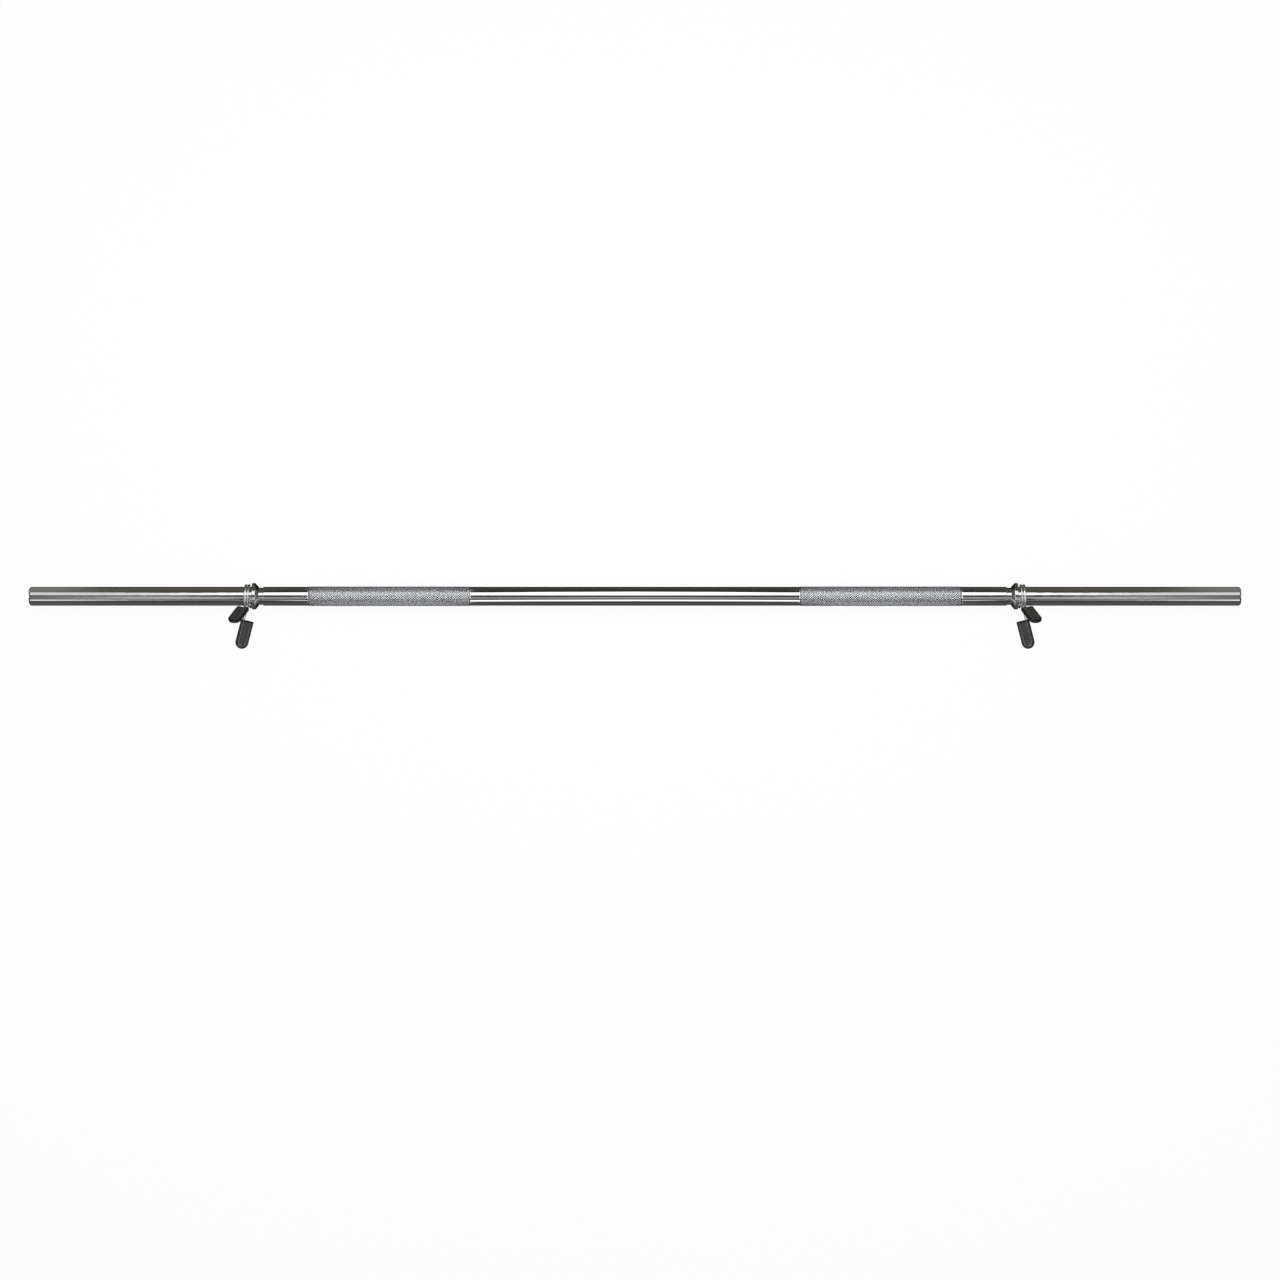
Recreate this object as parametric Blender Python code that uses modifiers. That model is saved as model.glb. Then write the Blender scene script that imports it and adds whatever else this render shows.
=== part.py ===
"""Standard barbell: a knurled steel bar, two fixed collars and two sprung clips with dipped grips.

Lengths are in metres and angles in degrees. The bar lies along X with its middle at the origin,
Z is up, and the grips of both clips reach towards -Y. Angles about the bar are measured from +Y
towards +Z. The two ends of the bar are mirror images.
"""

import math

import bmesh
import bpy
from mathutils import Matrix, Vector

# Clearance between pieces that fit together
FIT = 0.0003

# Bar: one turned steel rod with two knurled hand zones and a groove for each collar
BAR_LENGTH = 1.8000
BAR_RADIUS = 0.0140
END_CHAMFER = 0.0026
KNURL_TO_COLLAR = 0.0735
KNURL_LENGTH = 0.2400
KNURL_RAISE = 0.0005
KNURL_SHOULDER = 0.0010
SLEEVE_LENGTH = 0.3312
GROOVE_DEPTH = 0.0012
GROOVE_SLOPE = 0.0008
GROOVE_SHOWN = 0.0068

# Collar: a flanged ring swaged into the groove, with a lip over the bar's full diameter
RIM_RISE = 0.0056
RIM_THICKNESS = 0.0055
RIM_CHAMFER = 0.0006
CONE_LENGTH = 0.0048
TOE_WALL = 0.0005
COLLAR_LIP = 0.0026

# Clip: a torsion spring whose two legs end in hairpins inside the grips. A leg's tilt is how far it
# leans away from the collar, and its elbow rise is how far out from the elbow the grip's mouth is.
WIRE_RADIUS = 0.0018
TURN_GAP = 0.0008
FULL_TURNS = 2
UPPER_HANDLE = 119.3
UPPER_TILT = 17.7
LOWER_HANDLE = 190.0
LOWER_TILT = 14.7
LEG_TURN = 52.0
ELBOW_RADIUS = 0.0060
ELBOW_RISE = 0.0108
HAIRPIN_SPAN = 0.0110
FREE_END_DEPTH = 0.0060

# Grip: a dipped vinyl pad with a sunken panel on each face
GRIP_LENGTH = 0.0433
GRIP_WALL = 0.0010
GRIP_SIDE = 0.00235
GRIP_ROUND = 0.0019
PANEL_DEPTH = 0.0006
PANEL_INSET = 0.0030
PANEL_RIB = 0.0009

# Facets round a turned piece, and steps round a turn of the coil, a half circle, a bend and an edge
ROUND_STEPS = 48
COIL_STEPS = 24
TIP_STEPS = 10
BEND_STEPS = 4
EDGE_STEPS = 3

# How finely a wire's section is rounded, and the bevel profile that is a round
COIL_SECTION_STEPS = 1
LEG_SECTION_STEPS = 2
ROUND_PROFILE = 0.5

# The least angle at which an edge stays sharp, the greatest at which two faces count as one flat,
# and how close two points of a mesh are to be welded
SHARP_ANGLE = 30.0
FLAT_ANGLE = 1.0
WELD_DISTANCE = 0.000001

# Places along the bar, measured from its middle
COLLAR_FACE = BAR_LENGTH / 2 - SLEEVE_LENGTH
COLLAR_TOE = COLLAR_FACE - RIM_THICKNESS - CONE_LENGTH
KNURL_OUTER = COLLAR_TOE - KNURL_TO_COLLAR
KNURL_INNER = KNURL_OUTER - KNURL_LENGTH
GROOVE_INNER = COLLAR_TOE - GROOVE_SHOWN
GROOVE_OUTER = COLLAR_FACE - COLLAR_LIP

# Coil: its ends in degrees round the bar, and in metres out from the collar's face
COIL_RADIUS = BAR_RADIUS + FIT + WIRE_RADIUS
COIL_START_ANGLE = UPPER_HANDLE + LEG_TURN
COIL_END_ANGLE = LOWER_HANDLE - LEG_TURN + 360 * FULL_TURNS
COIL_SWEEP = COIL_END_ANGLE - COIL_START_ANGLE
COIL_START = FIT + WIRE_RADIUS
COIL_END = COIL_START + (2 * WIRE_RADIUS + TURN_GAP) * COIL_SWEEP / 360
STRAIGHT_END = 2 * WIRE_RADIUS

# Grip and hairpin: both end in a half circle about one point
GRIP_HALF_THICKNESS = WIRE_RADIUS + GRIP_WALL
GRIP_HALF_WIDTH = HAIRPIN_SPAN / 2 + WIRE_RADIUS + GRIP_SIDE
PANEL_HALF_WIDTH = HAIRPIN_SPAN / 2 - WIRE_RADIUS - PANEL_RIB
TIP_CENTRE = GRIP_LENGTH - GRIP_HALF_WIDTH

# The two ends of the bar, with the way each points along X
ENDS = {"left": -1, "right": 1}

# The legs of a clip: the angle at which each holds its grip, its tilt, the way round from the grip
# to where the leg leaves the coil, and how far out from the collar's face that is
LEGS = {
    "upper": (UPPER_HANDLE, UPPER_TILT, 1, COIL_START),
    "lower": (LOWER_HANDLE, LOWER_TILT, -1, COIL_END),
}


def clear_scene():
    for obj in list(bpy.data.objects):
        bpy.data.objects.remove(obj, do_unlink=True)


def new_collection(name):
    collection = bpy.data.collections.new(name)
    bpy.context.scene.collection.children.link(collection)
    return collection


def new_material(name, colour, metallic, roughness):
    material = bpy.data.materials.new(name)
    material.use_nodes = True
    shader = material.node_tree.nodes["Principled BSDF"]
    shader.inputs["Base Color"].default_value = (*colour, 1.0)
    shader.inputs["Metallic"].default_value = metallic
    shader.inputs["Roughness"].default_value = roughness
    material.diffuse_color = (*colour, 1.0)
    return material


def add_object(name, data, collection, parent=None):
    obj = bpy.data.objects.new(name, data)
    collection.objects.link(obj)
    obj.parent = parent
    return obj


def evaluated_mesh(obj, name):
    """The object's mesh with its modifiers applied, its caps welded and its round faces smooth."""
    bpy.context.view_layer.update()
    graph = bpy.context.evaluated_depsgraph_get()
    mesh = bpy.data.meshes.new_from_object(obj.evaluated_get(graph), depsgraph=graph)
    mesh.name = name
    work = bmesh.new()
    work.from_mesh(mesh)
    bmesh.ops.remove_doubles(work, verts=work.verts, dist=WELD_DISTANCE)
    work.to_mesh(mesh)
    work.free()
    mesh.shade_smooth()
    mesh.set_sharp_from_angle(angle=math.radians(SHARP_ANGLE))
    return mesh


def as_mesh(obj, collection):
    """Puts a mesh object in the place of a curve."""
    solid = add_object(obj.name + "_solid", evaluated_mesh(obj, obj.name), collection)
    solid.matrix_world = obj.matrix_world
    bpy.data.objects.remove(obj)
    return solid


def turned_mesh(name, profile, closed, cutters):
    """Turns a profile of (radius, height) points, outer side from the top down, about Z."""
    outline = bpy.data.meshes.new(name + "_profile")
    links = [(i, i + 1) for i in range(len(profile) - 1)]
    if closed:
        links.append((len(profile) - 1, 0))
    outline.from_pydata([(radius, 0, height) for radius, height in profile], links, [])
    obj = add_object(name + "_profile", outline, cutters)
    screw = obj.modifiers.new("Turn", "SCREW")
    screw.steps = ROUND_STEPS
    screw.render_steps = ROUND_STEPS
    screw.use_merge_vertices = True
    screw.merge_threshold = WELD_DISTANCE
    mesh = evaluated_mesh(obj, name)
    bpy.data.objects.remove(obj)
    return mesh


def bend(before, corner, after, radius):
    """The points of an arc that rounds the corner of a path."""
    back = (before - corner).normalized()
    ahead = (after - corner).normalized()
    opening = back.angle(ahead)
    centre = corner + (back + ahead).normalized() * radius / math.sin(opening / 2)
    spoke = corner + back * radius / math.tan(opening / 2) - centre
    axis = spoke.cross(-back)
    turns = [(math.pi - opening) * step / BEND_STEPS for step in range(BEND_STEPS + 1)]
    return [centre + Matrix.Rotation(turn, 3, axis) @ spoke for turn in turns]


def half_circle(centre, side, ahead):
    """The points of a half circle from one side of its centre, round ahead of it, to the other."""
    turns = [math.pi * step / TIP_STEPS for step in range(TIP_STEPS + 1)]
    return [centre + side * math.cos(turn) + ahead * math.sin(turn) for turn in turns]


def poly_spline(curve, points):
    spline = curve.splines.new("POLY")
    spline.points.add(len(points) - 1)
    for slot, point in zip(spline.points, points, strict=True):
        slot.co = (*point, 1.0)
    return spline


def wire_curve(name, points, radius, section_steps):
    curve = bpy.data.curves.new(name, "CURVE")
    curve.dimensions = "3D"
    curve.bevel_depth = radius
    curve.bevel_resolution = section_steps
    curve.use_fill_caps = True
    poly_spline(curve, points)
    return curve


def flat_curve(name, points, half_thickness):
    """A filled outline in the XY plane with its thickness along Z."""
    curve = bpy.data.curves.new(name, "CURVE")
    curve.dimensions = "2D"
    curve.fill_mode = "BOTH"
    curve.extrude = half_thickness
    poly_spline(curve, points).use_cyclic_u = True
    return curve


def build_shaft(parts, cutters, chrome):
    half = [
        (BAR_RADIUS, KNURL_INNER),
        (BAR_RADIUS + KNURL_RAISE, KNURL_INNER + KNURL_SHOULDER),
        (BAR_RADIUS + KNURL_RAISE, KNURL_OUTER - KNURL_SHOULDER),
        (BAR_RADIUS, KNURL_OUTER),
        (BAR_RADIUS, GROOVE_INNER),
        (BAR_RADIUS - GROOVE_DEPTH, GROOVE_INNER + GROOVE_SLOPE),
        (BAR_RADIUS - GROOVE_DEPTH, GROOVE_OUTER),
        (BAR_RADIUS, GROOVE_OUTER),
        (BAR_RADIUS, BAR_LENGTH / 2 - END_CHAMFER),
        (BAR_RADIUS - END_CHAMFER, BAR_LENGTH / 2),
        (0, BAR_LENGTH / 2),
    ]
    profile = half[::-1] + [(radius, -height) for radius, height in half]
    shaft = add_object("shaft", turned_mesh("shaft", profile, False, cutters), parts)
    shaft.data.materials.append(chrome)
    shaft.rotation_euler.y = math.pi / 2


def build_collars(parts, cutters, chrome):
    rim_radius = BAR_RADIUS + RIM_RISE
    groove_bore = BAR_RADIUS - GROOVE_DEPTH + FIT
    toe = -(RIM_THICKNESS + CONE_LENGTH)
    profile = [
        (rim_radius - RIM_CHAMFER, 0),
        (rim_radius, -RIM_CHAMFER),
        (rim_radius, RIM_CHAMFER - RIM_THICKNESS),
        (rim_radius - RIM_CHAMFER, -RIM_THICKNESS),
        (groove_bore + TOE_WALL, toe),
        (groove_bore, toe),
        (groove_bore, -COLLAR_LIP - FIT),
        (BAR_RADIUS + FIT, -COLLAR_LIP - FIT),
        (BAR_RADIUS + FIT, 0),
    ]
    ring = turned_mesh("collar", profile, True, cutters)
    ring.materials.append(chrome)
    for end, outward in ENDS.items():
        collar = add_object(end + "_collar", ring, parts)
        collar.location.x = outward * COLLAR_FACE
        # Half a facet round its axis first, so that the bar lies on two flats
        collar.rotation_mode = "ZYX"
        collar.rotation_euler = (0, outward * math.pi / 2, math.pi / ROUND_STEPS)


def round_the_bar(outward, angle, radius, along):
    """A point at an angle and a radius about the bar, and a distance out from the collar's face."""
    turn = math.radians(angle)
    return Vector((outward * along, radius * math.cos(turn), radius * math.sin(turn)))


def coil_points(outward):
    """The helix, with an end that leaves it straight along its tangent at each end."""
    steps = math.ceil(COIL_STEPS * COIL_SWEEP / 360)
    shares = [step / steps for step in range(steps + 1)]
    turns = [
        round_the_bar(
            outward,
            COIL_START_ANGLE + COIL_SWEEP * share,
            COIL_RADIUS,
            COIL_START + (COIL_END - COIL_START) * share,
        )
        for share in shares
    ]
    start = turns[0] + round_the_bar(outward, COIL_START_ANGLE - 90, STRAIGHT_END, 0)
    end = turns[-1] + round_the_bar(outward, COIL_END_ANGLE + 90, STRAIGHT_END, 0)
    return [start, *turns, end]


def least_coil_gap(points):
    """The least distance between the surfaces of stretches that are half a turn or more apart."""
    apart = COIL_STEPS // 2
    pairs = ((a, b) for i, a in enumerate(points) for b in points[i + apart :])
    return min((a - b).length for a, b in pairs) - 2 * WIRE_RADIUS


def leg_frame(outward, handle, sense):
    """Turns a leg's own directions, out along it, sideways and away from the collar, into world ones."""
    out = round_the_bar(outward, handle, 1, 0)
    sideways = round_the_bar(outward, handle + 90 * sense, 1, 0)
    return Matrix((out, sideways, (outward, 0, 0))).transposed()


def leg_shape(tilt, sense, coil_end):
    """A leg in its own frame: its wire's points, its grip's mouth, and the grip's X and Y axes."""
    turn = math.radians(LEG_TURN)
    lean = math.radians(tilt)
    half_span = HAIRPIN_SPAN / 2
    tangent = Vector((COIL_RADIUS * math.cos(turn), COIL_RADIUS * math.sin(turn), coil_end))
    elbow = Vector((COIL_RADIUS / math.cos(turn), 0, coil_end))
    start = tangent + (elbow - tangent).normalized() * (STRAIGHT_END + FIT)
    ahead = Vector((math.cos(lean), 0, math.sin(lean)))
    entry_side = Vector((math.sin(lean), 0, -math.cos(lean))) * sense
    entry = elbow + ahead * (ELBOW_RISE + entry_side.x * half_span) / ahead.x
    mouth = entry - entry_side * half_span
    hairpin = half_circle(mouth + ahead * TIP_CENTRE, entry_side * half_span, ahead * half_span)
    free_end = mouth - entry_side * half_span + ahead * FREE_END_DEPTH
    points = [start, *bend(start, elbow, entry, ELBOW_RADIUS), *hairpin, free_end]
    return points, mouth, ahead, entry_side


def round_edges(mesh):
    """Merges a pad's flat faces, and rounds its edges except those of its mouth, at X = 0."""
    work = bmesh.new()
    work.from_mesh(mesh)
    flat = math.radians(FLAT_ANGLE)
    bmesh.ops.dissolve_limit(work, angle_limit=flat, verts=work.verts, edges=work.edges)
    rim = [
        edge
        for edge in work.edges
        if edge.calc_face_angle() > math.radians(SHARP_ANGLE)
        and max(vert.co.x for vert in edge.verts) > FIT
    ]
    bmesh.ops.bevel(
        work,
        geom=rim,
        offset=GRIP_ROUND,
        segments=EDGE_STEPS,
        profile=ROUND_PROFILE,
        affect="EDGES",
    )
    work.to_mesh(mesh)
    work.free()


def panel_cutter(cutters, face):
    """A slab with two round ends that sinks the panel into one face of the grip."""
    side = Vector((0, PANEL_HALF_WIDTH, 0))
    ahead = Vector((PANEL_HALF_WIDTH, 0, 0))
    outline = half_circle(Vector((TIP_CENTRE, 0, 0)), -side, ahead)
    outline += half_circle(Vector((PANEL_INSET + PANEL_HALF_WIDTH, 0, 0)), side, -ahead)
    slab = add_object(f"panel_cutter_{face}", flat_curve("panel", outline, PANEL_DEPTH), cutters)
    slab.location.z = face * GRIP_HALF_THICKNESS
    bpy.context.view_layer.update()
    return as_mesh(slab, cutters)


def wire_cutter(cutters):
    """The space for the hairpin, which opens at the mouth where the wire goes in."""
    half_span = HAIRPIN_SPAN / 2
    hairpin = half_circle(Vector((TIP_CENTRE, 0, 0)), Vector((0, half_span, 0)), Vector((half_span, 0, 0)))
    way_in = Vector((-GRIP_HALF_THICKNESS, half_span, 0))
    blind_end = Vector((FREE_END_DEPTH - FIT, -half_span, 0))
    path = [way_in, *hairpin, blind_end]
    space = wire_curve("wire_space", path, WIRE_RADIUS + FIT, LEG_SECTION_STEPS)
    return as_mesh(add_object("wire_cutter", space, cutters), cutters)


def build_grip_mesh(cutters, vinyl):
    """The grip with its mouth at the origin, its tip along +X and the wire's way in at +Y."""
    side = Vector((0, GRIP_HALF_WIDTH, 0))
    outline = half_circle(Vector((TIP_CENTRE, 0, 0)), -side, Vector((GRIP_HALF_WIDTH, 0, 0)))
    flat = flat_curve("pad", [-side, *outline, side], GRIP_HALF_THICKNESS)
    pad = as_mesh(add_object("pad", flat, cutters), cutters)
    round_edges(pad.data)
    for cutter in (panel_cutter(cutters, 1), panel_cutter(cutters, -1), wire_cutter(cutters)):
        cutter.hide_render = True
        cutter.display_type = "WIRE"
        cut = pad.modifiers.new(cutter.name, "BOOLEAN")
        cut.operation = "DIFFERENCE"
        cut.object = cutter
    mesh = evaluated_mesh(pad, "grip")
    bpy.data.objects.remove(pad)
    mesh.materials.clear()
    mesh.materials.append(vinyl)
    return mesh


def build_clip(end, outward, grip_mesh, parts, wire_steel):
    """One clip: its coil, and a leg and a grip at each end of the wire, on the bar's axis."""
    axis = add_object(end + "_clip_axis", None, parts)
    axis.location.x = outward * COLLAR_FACE
    points = coil_points(outward)
    print(f"{end} coil: least gap between turns {least_coil_gap(points) * 1000:.2f} mm")
    wound = wire_curve("coil", points, WIRE_RADIUS, COIL_SECTION_STEPS)
    coil = add_object(end + "_coil", wound, parts, axis)
    coil.data.materials.append(wire_steel)
    for name, (handle, tilt, sense, coil_end) in LEGS.items():
        frame = leg_frame(outward, handle, sense)
        points, mouth, ahead, entry_side = leg_shape(tilt, sense, coil_end)
        route = [frame @ point for point in points]
        wire = wire_curve("leg", route, WIRE_RADIUS, LEG_SECTION_STEPS)
        leg = add_object(f"{end}_{name}_leg", wire, parts, axis)
        leg.data.materials.append(wire_steel)
        grip = add_object(f"{end}_{name}_grip", grip_mesh, parts, axis)
        length = frame @ ahead
        width = frame @ entry_side
        turned = Matrix((length, width, length.cross(width))).transposed()
        grip.matrix_local = Matrix.Translation(frame @ mouth) @ turned.to_4x4()


def main():
    clear_scene()
    parts = new_collection("barbell")
    cutters = new_collection("cutters")
    chrome = new_material("chrome", (0.80, 0.80, 0.82), 1.0, 0.10)
    wire_steel = new_material("spring_wire", (0.74, 0.74, 0.76), 1.0, 0.16)
    vinyl = new_material("vinyl", (0.060, 0.054, 0.050), 0.0, 0.45)
    build_shaft(parts, cutters, chrome)
    build_collars(parts, cutters, chrome)
    grip_mesh = build_grip_mesh(cutters, vinyl)
    for end, outward in ENDS.items():
        build_clip(end, outward, grip_mesh, parts, wire_steel)


main()
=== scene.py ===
"""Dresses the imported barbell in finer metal, knurls, springs and vinyl, on a pale studio floor.

Lengths are in metres and angles in degrees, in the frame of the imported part: the bar lies along X
with its middle at the origin, Z is up, and the grips of both clips reach towards -Y. Angles about
the bar are measured from +Y towards +Z. The two ends of the bar are mirror images.
"""

import math
import random

import bmesh
import bpy
from mathutils import Matrix, Vector


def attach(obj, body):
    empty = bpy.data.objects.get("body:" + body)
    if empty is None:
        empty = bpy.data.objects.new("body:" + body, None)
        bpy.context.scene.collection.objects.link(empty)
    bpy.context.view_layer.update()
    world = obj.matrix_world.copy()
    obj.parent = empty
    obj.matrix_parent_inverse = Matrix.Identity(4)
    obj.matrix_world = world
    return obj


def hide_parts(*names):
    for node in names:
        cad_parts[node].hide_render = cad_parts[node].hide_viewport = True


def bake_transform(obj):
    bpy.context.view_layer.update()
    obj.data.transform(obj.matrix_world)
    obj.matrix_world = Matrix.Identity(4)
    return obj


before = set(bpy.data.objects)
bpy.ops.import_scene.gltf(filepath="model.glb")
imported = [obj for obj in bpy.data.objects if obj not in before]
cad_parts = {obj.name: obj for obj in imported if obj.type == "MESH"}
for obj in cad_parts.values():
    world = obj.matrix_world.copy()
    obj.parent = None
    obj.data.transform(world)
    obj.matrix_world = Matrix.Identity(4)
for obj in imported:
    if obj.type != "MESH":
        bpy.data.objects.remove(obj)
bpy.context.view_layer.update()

# Bar, as in the part
BAR_LENGTH = 1.8000
BAR_RADIUS = 0.0140
END_CHAMFER = 0.0026
KNURL_TO_COLLAR = 0.0735
KNURL_LENGTH = 0.2400
KNURL_RAISE = 0.0005
SLEEVE_LENGTH = 0.3312
GROOVE_DEPTH = 0.0012
GROOVE_SLOPE = 0.0008
GROOVE_SHOWN = 0.0068

# Collar, as in the part
FIT = 0.0003
RIM_RISE = 0.0056
RIM_THICKNESS = 0.0055
RIM_CHAMFER = 0.0006
CONE_LENGTH = 0.0048
TOE_WALL = 0.0005
COLLAR_LIP = 0.0026

# Clip, as in the part
WIRE_RADIUS = 0.0018
TURN_GAP = 0.0008
FULL_TURNS = 2
UPPER_HANDLE = 119.3
UPPER_TILT = 17.7
LOWER_HANDLE = 190.0
LOWER_TILT = 14.7
LEG_TURN = 52.0
ELBOW_RADIUS = 0.0060
ELBOW_RISE = 0.0108
HAIRPIN_SPAN = 0.0110
FREE_END_DEPTH = 0.0060

# Grip, as in the part
GRIP_LENGTH = 0.0433
GRIP_WALL = 0.0010
GRIP_SIDE = 0.00235
GRIP_ROUND = 0.0019
PANEL_DEPTH = 0.0006
PANEL_INSET = 0.0030
PANEL_RIB = 0.0009

# Turned pieces: how finely they are turned, and how their edges are eased
TURNED_STEPS = 192
BEND_STEPS = 6
EDGE_EASE = 0.00015
CHAMFER_CROWN = 0.00015
SHARP_ANGLE = 35.0

# Long runs of a turned profile: from what length, and how close to their ends a point holds them
LONG_RUN = 0.0016
HOLD = 0.0004

# Knurl: flat-topped diamonds cut by two crossing families of grooves
KNURL_PITCH = 0.00378
KNURL_STARTS = 28
KNURL_DEPTH = 0.00055
KNURL_FADE = 0.0020
KNURL_SEAT = 0.0008
KNURL_WALL = 0.0001
KNURL_WEAR = 0.00003
KNURL_LEAN = 0.000015
KNURL_SEED = 11
KNURL_SHARP_ANGLE = 12.0

# A diamond's outlines from its groove to its flat top: their size, and their share of the height
KNURL_STEPS = ((0.86, 0.02), (0.66, 0.95), (0.60, 1.0))

# A diamond's four corners from its middle, in rows along the bar and turns about it
WAYS = ((1, 0), (0, 1), (-1, 0), (0, -1))

# Wires and grips: how finely they are made
WIRE_SIDES = 24
COIL_STEPS = 72
TIP_STEPS = 24
EDGE_STEPS = 6
FACE_STEPS = 14
PAD_STATIONS = 16
LIP_STATIONS = (0.0, 0.00008, 0.0002, 0.0004, 0.0007)
LIP_ROUND = 0.0007
LEAST_HEIGHT = 0.0002
MERGE_DISTANCE = 0.000001

# Grip's relief: the roll over the wire inside it, and the slope down to its sunk panel
ROLL_HEIGHT = 0.00045
ROLL_HALF_WIDTH = 0.0028
PANEL_SLOPE = 0.0016

# Grip's painted shade round its edges: how far in from its outline, and how far from the middle of its
# sides, it gives way to the face's colour, and how much of that colour the sides' middle keeps
OUTLINE_SHADE_FADE = (0.0007, 0.0022)
SIDE_SHADE_FADE = (0.0009, 0.0018)
SIDE_UNSHADED_SHARE = 0.8

# Unwrapping, in shares of the map: the sides of a skin, and its caps' centres and radius
SIDES_SHARE = 0.9
CAP_CENTRES = ((0.95, 0.25), (0.95, 0.75))
CAP_SHARE = 0.04

# Unwrapping of a knurl: its diamonds, and the rims and bore of its sleeve
DIAMONDS_SHARE = 0.94
SLEEVE_SHARES = ((0.98, 0.99), (0.945, 0.955), (0.96, 0.97))

# Places that follow from the above
COLLAR_FACE = BAR_LENGTH / 2 - SLEEVE_LENGTH
COLLAR_TOE = COLLAR_FACE - RIM_THICKNESS - CONE_LENGTH
KNURL_OUTER = COLLAR_TOE - KNURL_TO_COLLAR
KNURL_INNER = KNURL_OUTER - KNURL_LENGTH
KNURL_ROWS = 2 * round(KNURL_LENGTH / KNURL_PITCH)
KNURL_AROUND = 2 * KNURL_STARTS
KNURL_SPACING = KNURL_LENGTH / KNURL_ROWS
KNURL_FOOT = BAR_RADIUS + KNURL_RAISE - KNURL_DEPTH
KNURL_BORE = BAR_RADIUS - KNURL_SEAT + KNURL_WALL
GROOVE_INNER = COLLAR_TOE - GROOVE_SHOWN
GROOVE_OUTER = COLLAR_FACE - COLLAR_LIP
COIL_RADIUS = BAR_RADIUS + FIT + WIRE_RADIUS
COIL_START_ANGLE = UPPER_HANDLE + LEG_TURN
COIL_END_ANGLE = LOWER_HANDLE - LEG_TURN + 360 * FULL_TURNS
COIL_SWEEP = COIL_END_ANGLE - COIL_START_ANGLE
COIL_START = FIT + WIRE_RADIUS
COIL_END = COIL_START + (2 * WIRE_RADIUS + TURN_GAP) * COIL_SWEEP / 360
STRAIGHT_END = 2 * WIRE_RADIUS
GRIP_HALF_THICKNESS = WIRE_RADIUS + GRIP_WALL
GRIP_HALF_WIDTH = HAIRPIN_SPAN / 2 + WIRE_RADIUS + GRIP_SIDE
PANEL_HALF_WIDTH = HAIRPIN_SPAN / 2 - WIRE_RADIUS - PANEL_RIB
TIP_CENTRE = GRIP_LENGTH - GRIP_HALF_WIDTH

# The two ends of the bar, with the way that each points along X
ENDS = {"left": -1, "right": 1}

# The two legs of a clip: the handle's angle and tilt, the way round the bar from there to where the
# coil ends, and how far out it ends
LEGS = {
    "upper": (UPPER_HANDLE, UPPER_TILT, 1, COIL_START),
    "lower": (LOWER_HANDLE, LOWER_TILT, -1, COIL_END),
}

# Materials: a noise is its scale, its detail, and each axis's own scale where they differ

# Bar's plating. Two distances from its middle are where a change begins and where it is complete
BAR_COLOUR = (0.80, 0.80, 0.815, 1.0)
BAR_DULLING = (0.58, 0.74)
BAR_ROUGHNESS = (0.02, 0.09)
BAR_SMUDGES = (45.0, 3.0)
BAR_SMUDGE_ROUGHNESS = 0.04
BAR_RINGS = (1.0, 2.0, (2500, 20, 20))
BAR_RINGS_BEGIN = (0.60, 0.88)
RING_HEIGHT = 0.000012
WAVES = (220.0, 0.0, (0.4, 1, 1))
WAVES_BEGIN = (0.50, 0.60)
WAVES_END = (0.74, 0.84)
WAVES_ELSEWHERE = 0.15
WAVE_HEIGHT = 0.00009

# Knurl's plating, from its grooves, darkened with painted shade and some oil, to its tops, which begin at
# the first share of the height
KNURL_GROOVE_SHADE_AND_OIL_COLOUR = (0.05, 0.052, 0.058, 1.0)
KNURL_TOP_COLOUR = (0.92, 0.95, 1.0, 1.0)
KNURL_TOPS = (0.4, 1.0)
KNURL_ROUGHNESS = (0.42, 0.34)
KNURL_SPECKLE = (700.0, 2.0)
KNURL_SPECKLE_ROUGHNESS = 0.08

# Collar's plating
COLLAR_COLOUR = (0.80, 0.80, 0.82, 1.0)
COLLAR_SMUDGES = (160.0, 3.0)
COLLAR_SMUDGE_RANGE = (0.2, 0.8)
COLLAR_ROUGHNESS = (0.06, 0.14)
COLLAR_RINGS = (1.0, 2.0, (2200, 60, 60))

# Spring wire's plating
WIRE_COLOUR = (0.84, 0.84, 0.85, 1.0)
WIRE_SMUDGES = (260.0, 3.0)
WIRE_SMUDGE_RANGE = (0.25, 0.75)
WIRE_ROUGHNESS = (0.12, 0.24)
WIRE_DENTS = (420.0, 2.0)
WIRE_DENT_HEIGHT = 0.00003

# Grips' vinyl, mottled and smeared, darkened round its edges with painted shade, and polished along the
# crest over the wire
VINYL_EDGE_SHADE_COLOUR = (0.006, 0.005, 0.0045, 1.0)
VINYL_FACE_COLOUR = (0.043, 0.039, 0.036, 1.0)
VINYL_MOTTLE = (230.0, 4.0)
VINYL_MOTTLE_RANGE = (0.3, 0.7)
VINYL_MOTTLE_SHARE = (0.55, 1.0)
VINYL_SMEARS = (90.0, 2.0)
VINYL_SMEAR_RANGE = (0.3, 0.7)
VINYL_ROUGHNESS = (0.24, 0.34)
VINYL_CREST_RANGE = (0.0, 0.8)
VINYL_CREST_POLISH = (1.0, 0.6)
VINYL_CREST_GLOSS = (0.4, 1.0)
VINYL_PEBBLES = (1500.0, 3.0)
VINYL_PEBBLE_HEIGHT = 0.00002

# Studio, with a floor that the rims of the collars rest on
WORLD_FILL = 0.40
FLOOR_Z = -(BAR_RADIUS + RIM_RISE)
FLOOR_SIZE = 12.0
FLOOR_GLOW = 0.92
FLOOR_COLOUR = (0.90, 0.90, 0.90, 1.0)
WHITE = (1.0, 1.0, 1.0, 1.0)

# Soft lights: the angles from straight up towards +Y that each fills, and its brightness
SOFT_LIGHTS = {"key": (12, 46, 1.9), "fill": (-38, -9, 1.3)}
LIGHT_DISTANCE = 1.5
LIGHT_LENGTH = 3.0

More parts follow.
